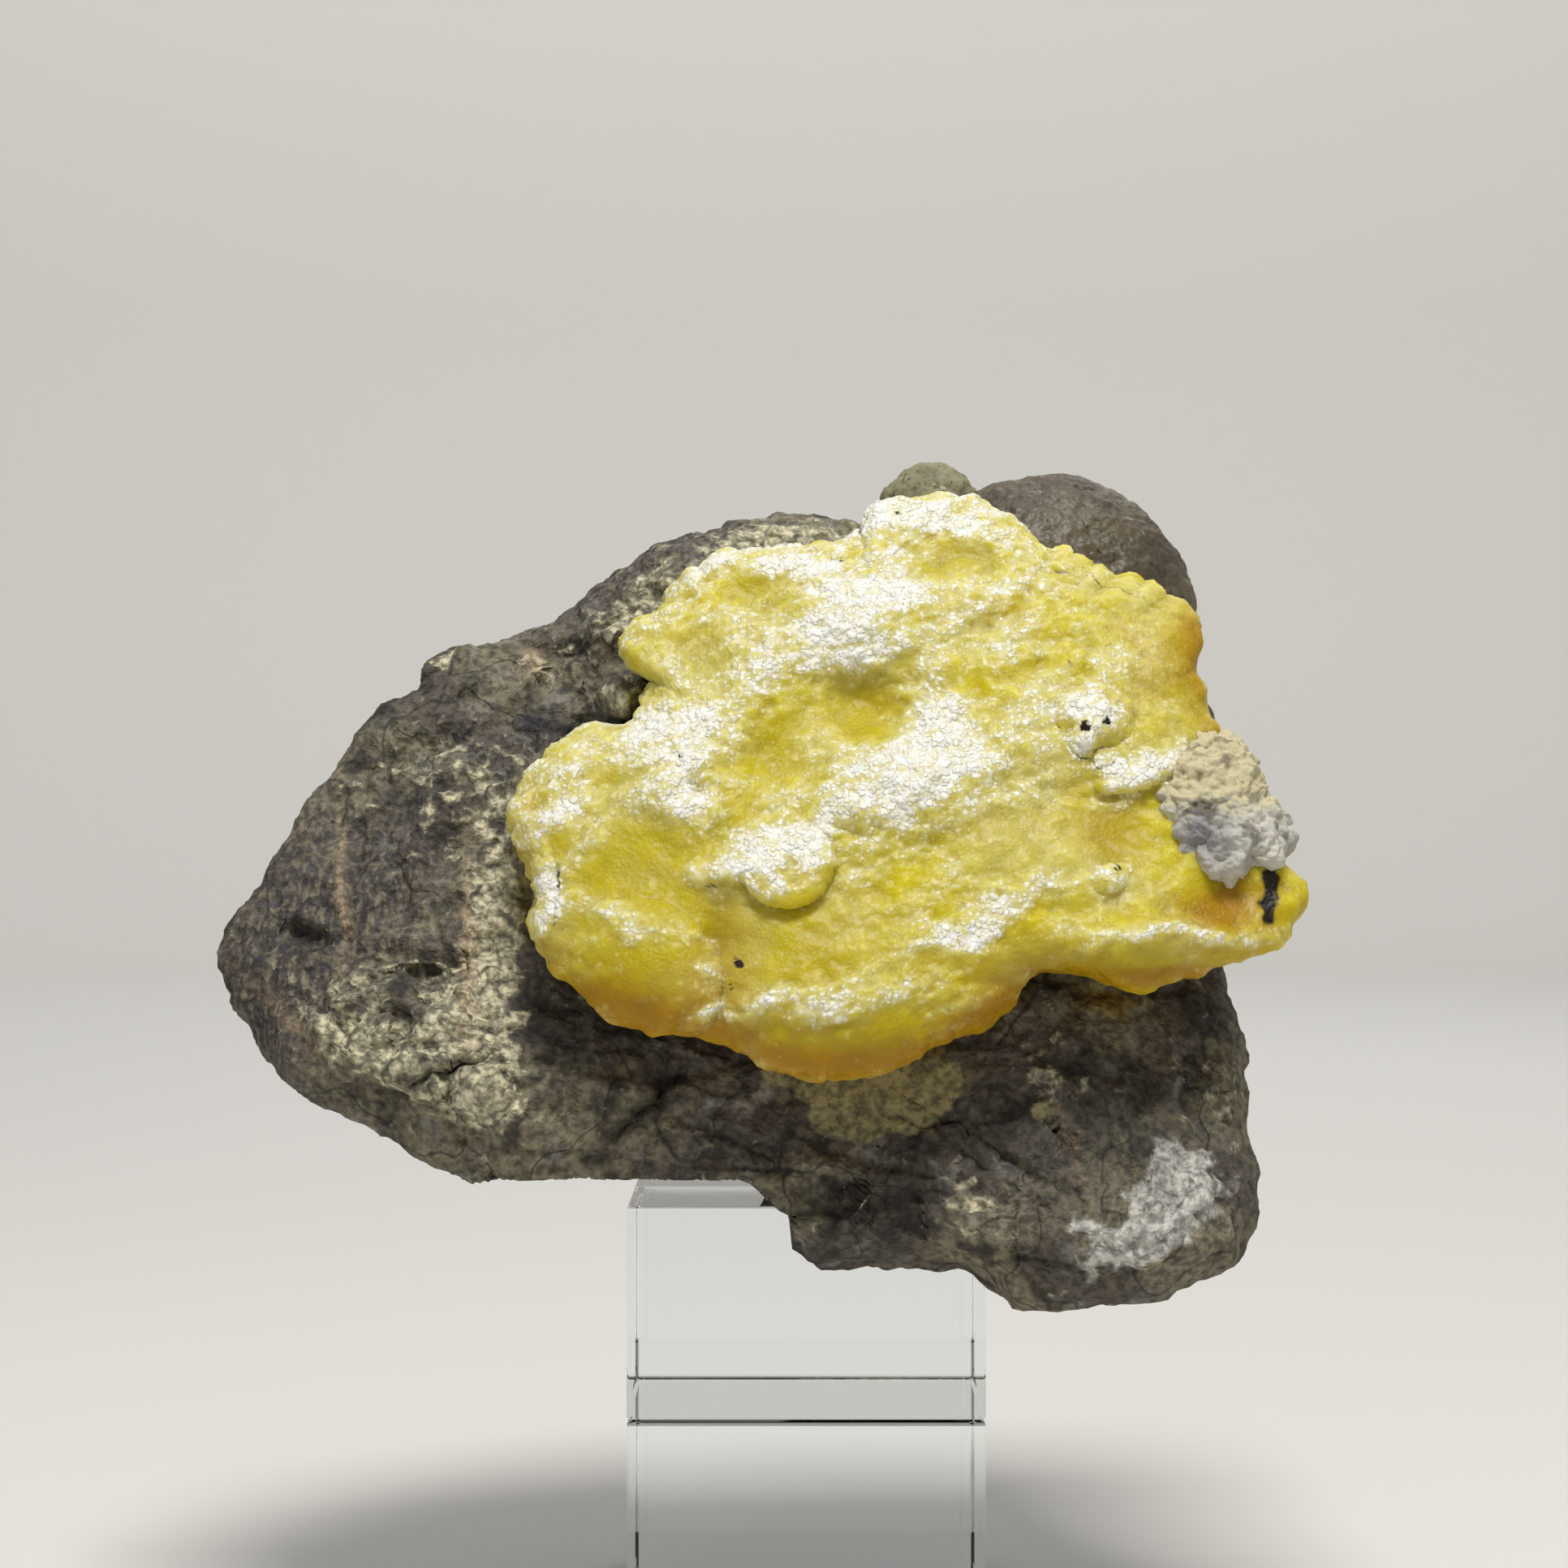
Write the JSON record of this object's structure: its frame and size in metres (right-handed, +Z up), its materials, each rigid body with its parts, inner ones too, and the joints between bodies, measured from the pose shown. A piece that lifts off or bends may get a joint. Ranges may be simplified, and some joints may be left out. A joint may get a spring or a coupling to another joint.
{
  "type": "brucite mineral specimen on display blocks",
  "caption": "Thick lemon-yellow translucent brucite crust grown on grey-brown host rock, shown tilted back on two stacked clear display blocks.",
  "frame": {"origin": "middle of the lower display block's underside", "axes": "+Z up, +X to the right of the front view, and the yellow crust faces -Y"},
  "size_m": [0.1503, 0.0899, 0.167],
  "materials": {
    "host_rock": "matte",
    "yellow_brucite": "satin",
    "pale_carbonate": "matte",
    "brown_botryoid": "satin",
    "grey_green_botryoid": "matte",
    "clear_acrylic": "polished"
  },
  "bodies": {
    "root": {"matrix_rock": "host_rock", "brucite_crust": "yellow_brucite", "carbonate_nodule": "pale_carbonate", "rear_dome": "brown_botryoid", "rear_knob": "grey_green_botryoid", "display_block_upper": "clear_acrylic", "display_block_lower": "clear_acrylic"}
  },
  "joints": []
}
